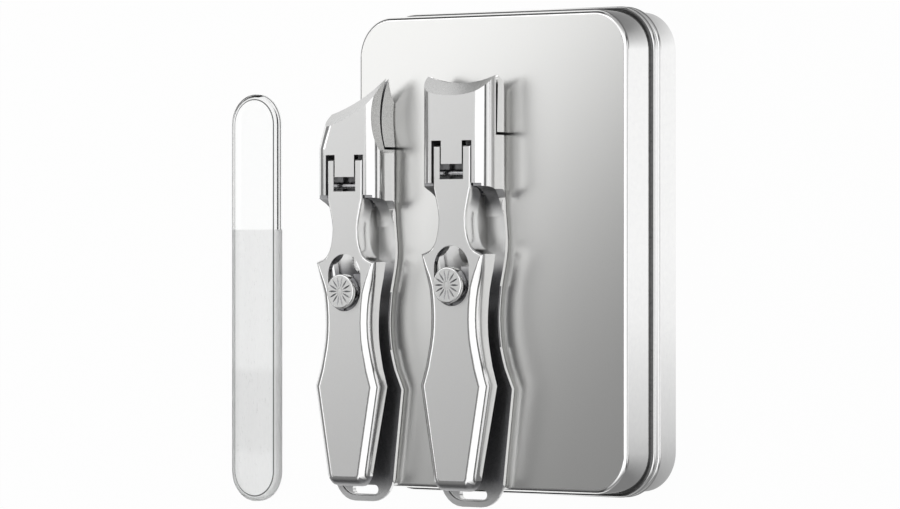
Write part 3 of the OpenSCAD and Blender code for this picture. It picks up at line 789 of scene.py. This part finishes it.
def plane(name, size_x_m, size_y_m, place_m, mat):
    """A level plane that belongs to the stage."""
    mesh = bpy.data.meshes.new(name)
    x, y = size_x_m / 2, size_y_m / 2
    mesh.from_pydata([(-x, -y, 0), (x, -y, 0), (x, y, 0), (-x, y, 0)], [], [(0, 1, 2, 3)])
    mesh.materials.append(mat)
    obj = add_object(name, mesh)
    obj.location = place_m
    return obj


def maths(tree, operation, *sources):
    """A Math node. Each source is a socket or a plain number."""
    n = node(tree, "ShaderNodeMath", operation=operation)
    for socket, source in zip(n.inputs, sources):
        if isinstance(source, bpy.types.NodeSocket):
            link(tree, source, socket)
        else:
            socket.default_value = source
    return n.outputs[0]


def mix_shaders(tree, factor, one, two):
    mix = node(tree, "ShaderNodeMixShader")
    for socket, source in zip(mix.inputs, (factor, one, two)):
        link(tree, source, socket)
    link(tree, mix.outputs["Shader"], tree.nodes["Material Output"].inputs["Surface"])


def seen_directly(tree):
    """1 for camera, glossy and transmission rays, 0 for the light that falls on things."""
    rays = node(tree, "ShaderNodeLightPath").outputs
    first = maths(tree, "MAXIMUM", rays["Is Camera Ray"], rays["Is Glossy Ray"])
    return maths(tree, "MAXIMUM", first, rays["Is Transmission Ray"])


def floor():
    """A white table. In polished steel right of the tin's middle it darkens past the tin's two ends."""
    reach = 100.0
    darkens_over_x = 15.0
    glow_share = 0.97
    floor_z_m = -0.00005
    ends = [(0.0, 0.2), (0.22, 0.2), (0.27, 0.45), (0.31, 0.66), (0.43, 0.95), (0.5, 1.0),
            (0.715, 1.0), (0.745, 0.62), (0.78, 0.26), (0.82, 0.15), (1.0, 0.15)]
    m, tree, shader = material("stage_floor")
    shader.inputs["Base Color"].default_value = (0.86, 0.86, 0.86, 1)
    shader.inputs["Roughness"].default_value = 0.9
    coords = object_coords(tree)
    along = stops(tree, ramp(tree, axis_of(tree, coords, "Y"), 0.0, 1.0, -reach, reach), ends)
    right = ramp(tree, axis_of(tree, coords, "X"), 0.0, 1.0, 0.0, darkens_over_x)
    mirrored = node(tree, "ShaderNodeLightPath").outputs["Is Glossy Ray"]
    darkened = maths(tree, "MULTIPLY", mirrored, right)
    glow = node(tree, "ShaderNodeEmission")
    link(tree, mix_colours(tree, darkened, WHITE, along), glow.inputs["Color"])
    share = maths(tree, "MULTIPLY", seen_directly(tree), glow_share)
    mix_shaders(tree, share, shader.outputs["BSDF"], glow.outputs["Emission"])
    plane("stage_floor", 6, 6, (0, 0, floor_z_m), m)


def studio():
    """What polished steel mirrors is a broad white light overhead that ends at a dark surround.

    The camera sees plain white, and everything else is lit evenly.
    """
    light_level = 0.6
    mirrored_level = 1.3
    camera_extra = 0.4
    across_levels = [(0.0, 0.2), (0.18, 0.16), (0.32, 0.22), (0.35, 0.9), (0.48, 1.0),
                     (0.87, 1.0), (0.9, 0.06), (0.935, 0.06), (0.965, 0.7), (1.0, 0.8)]
    along_levels = [(0.0, 0.3), (0.12, 0.16), (0.25, 0.7), (0.35, 1.0),
                    (0.65, 1.0), (0.74, 0.8), (0.86, 0.36), (1.0, 0.3)]
    world = bpy.data.worlds.new("studio")
    bpy.context.scene.world = world
    world.use_nodes = True
    tree = world.node_tree
    background = tree.nodes["Background"]
    rays = node(tree, "ShaderNodeLightPath").outputs
    direction = node(tree, "ShaderNodeTexCoord").outputs["Generated"]
    across = stops(tree, ramp(tree, axis_of(tree, direction, "X"), 0.0, 1.0, -1.0, 1.0), across_levels)
    along = stops(tree, ramp(tree, axis_of(tree, direction, "Y"), 0.0, 1.0, -1.0, 1.0), along_levels)
    overhead = mix_colours(tree, 1.0, across, along, "MULTIPLY")
    link(tree, mix_colours(tree, rays["Is Glossy Ray"], WHITE, overhead), background.inputs["Color"])
    level = ramp(tree, rays["Is Glossy Ray"], light_level, mirrored_level)
    link(tree, maths(tree, "MULTIPLY_ADD", rays["Is Camera Ray"], camera_extra, level),
         background.inputs["Strength"])


def soft_panel():
    """A panel that only gloss mirrors, over the lid's far corner. It is brightest there and fades out."""
    fade_m = 0.025
    strength = 1.55
    m, tree, shader = material("stage_panel")
    turned = node(tree, "ShaderNodeMapping")
    turned.inputs["Rotation"].default_value = (0, 0, math.radians(-45))
    link(tree, node(tree, "ShaderNodeTexCoord").outputs["Object"], turned.inputs["Vector"])
    fade = node(tree, "ShaderNodeMapRange", interpolation_type="SMOOTHSTEP")
    fade.inputs["From Min"].default_value = -fade_m
    fade.inputs["From Max"].default_value = fade_m
    link(tree, axis_of(tree, turned.outputs["Vector"], "Y"), fade.inputs["Value"])
    clear = node(tree, "ShaderNodeBsdfTransparent")
    shine = node(tree, "ShaderNodeEmission")
    shine.inputs["Strength"].default_value = strength
    mix_shaders(tree, fade.outputs["Result"], clear.outputs[0], shine.outputs[0])
    panel = plane("stage_panel", 0.26, 0.4, (-0.146, 0.0, 0.2), m)
    for kind in ("camera", "diffuse", "transmission", "volume_scatter", "shadow"):
        setattr(panel, "visible_" + kind, False)


def key_light():
    """A soft lamp from the upper left, which gives the shadows but no glint."""
    place_m = Vector((-0.26, 0.2, 0.5))
    aim_m = Vector((-0.02, 0.0, 0.02))
    data = bpy.data.lights.new("key", "AREA")
    data.shape = "RECTANGLE"
    data.size = 0.3
    data.size_y = 0.3
    data.energy = 0.5
    lamp = add_object("key", data)
    lamp.location = place_m
    lamp.rotation_euler = (aim_m - place_m).to_track_quat("-Z", "Y").to_euler()
    lamp.visible_glossy = False


def camera():
    """The photograph's long lens, tilted off the lid's normal towards the tin's right side."""
    tilt = math.radians(38.5)
    distance_m = 1.06
    aim_m = Vector((-6.56, -0.52, 22.2)) * MM
    data = bpy.data.cameras.new("camera")
    data.lens = 202.3
    data.sensor_width = 36
    data.clip_start = 0.05
    data.clip_end = 20
    obj = add_object("camera", data)
    back = Vector((math.sin(tilt), 0, math.cos(tilt)))
    right = Vector((math.cos(tilt), 0, -math.sin(tilt)))
    up = Vector((0, 1, 0))
    place_m = aim_m + distance_m * back
    obj.matrix_world = Matrix.Translation(place_m) @ Matrix((right, up, back)).transposed().to_4x4()
    bpy.context.scene.camera = obj


floor()
studio()
soft_panel()
key_light()
camera()
bpy.context.scene.view_settings.view_transform = "Standard"
